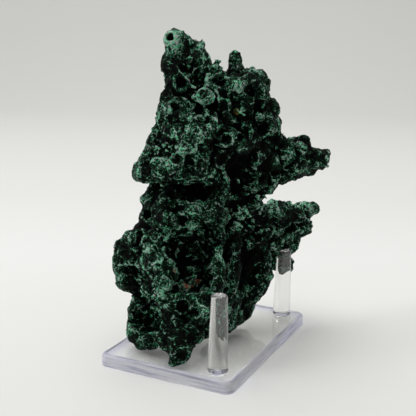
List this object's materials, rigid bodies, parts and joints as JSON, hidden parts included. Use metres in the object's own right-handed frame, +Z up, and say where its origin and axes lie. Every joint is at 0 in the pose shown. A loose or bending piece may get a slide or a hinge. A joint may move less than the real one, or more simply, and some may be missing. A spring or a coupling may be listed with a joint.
{
  "type": "malachite specimen on a stand",
  "caption": "Tall craggy malachite specimen with lumps, cups and open hollows, standing on a clear acrylic slab between upright tapered pegs.",
  "frame": {"origin": "centre of the slab's underside, which rests on the table", "axes": "+Z up, +X along the slab's short side towards the two outer pegs, +Y along its long side; the specimen's show side faces between -Y and +X"},
  "size_m": [0.0952, 0.1318, 0.1748],
  "materials": {
    "malachite": "rough, velvety crust, dark green with paler green edges",
    "clear_acrylic": "clear, polished, faint lavender tint at the edges"
  },
  "bodies": {
    "root": {"malachite": "malachite", "slab": "clear_acrylic", "peg_front": "clear_acrylic", "peg_back": "clear_acrylic", "peg_far_side": "clear_acrylic"}
  },
  "joints": []
}
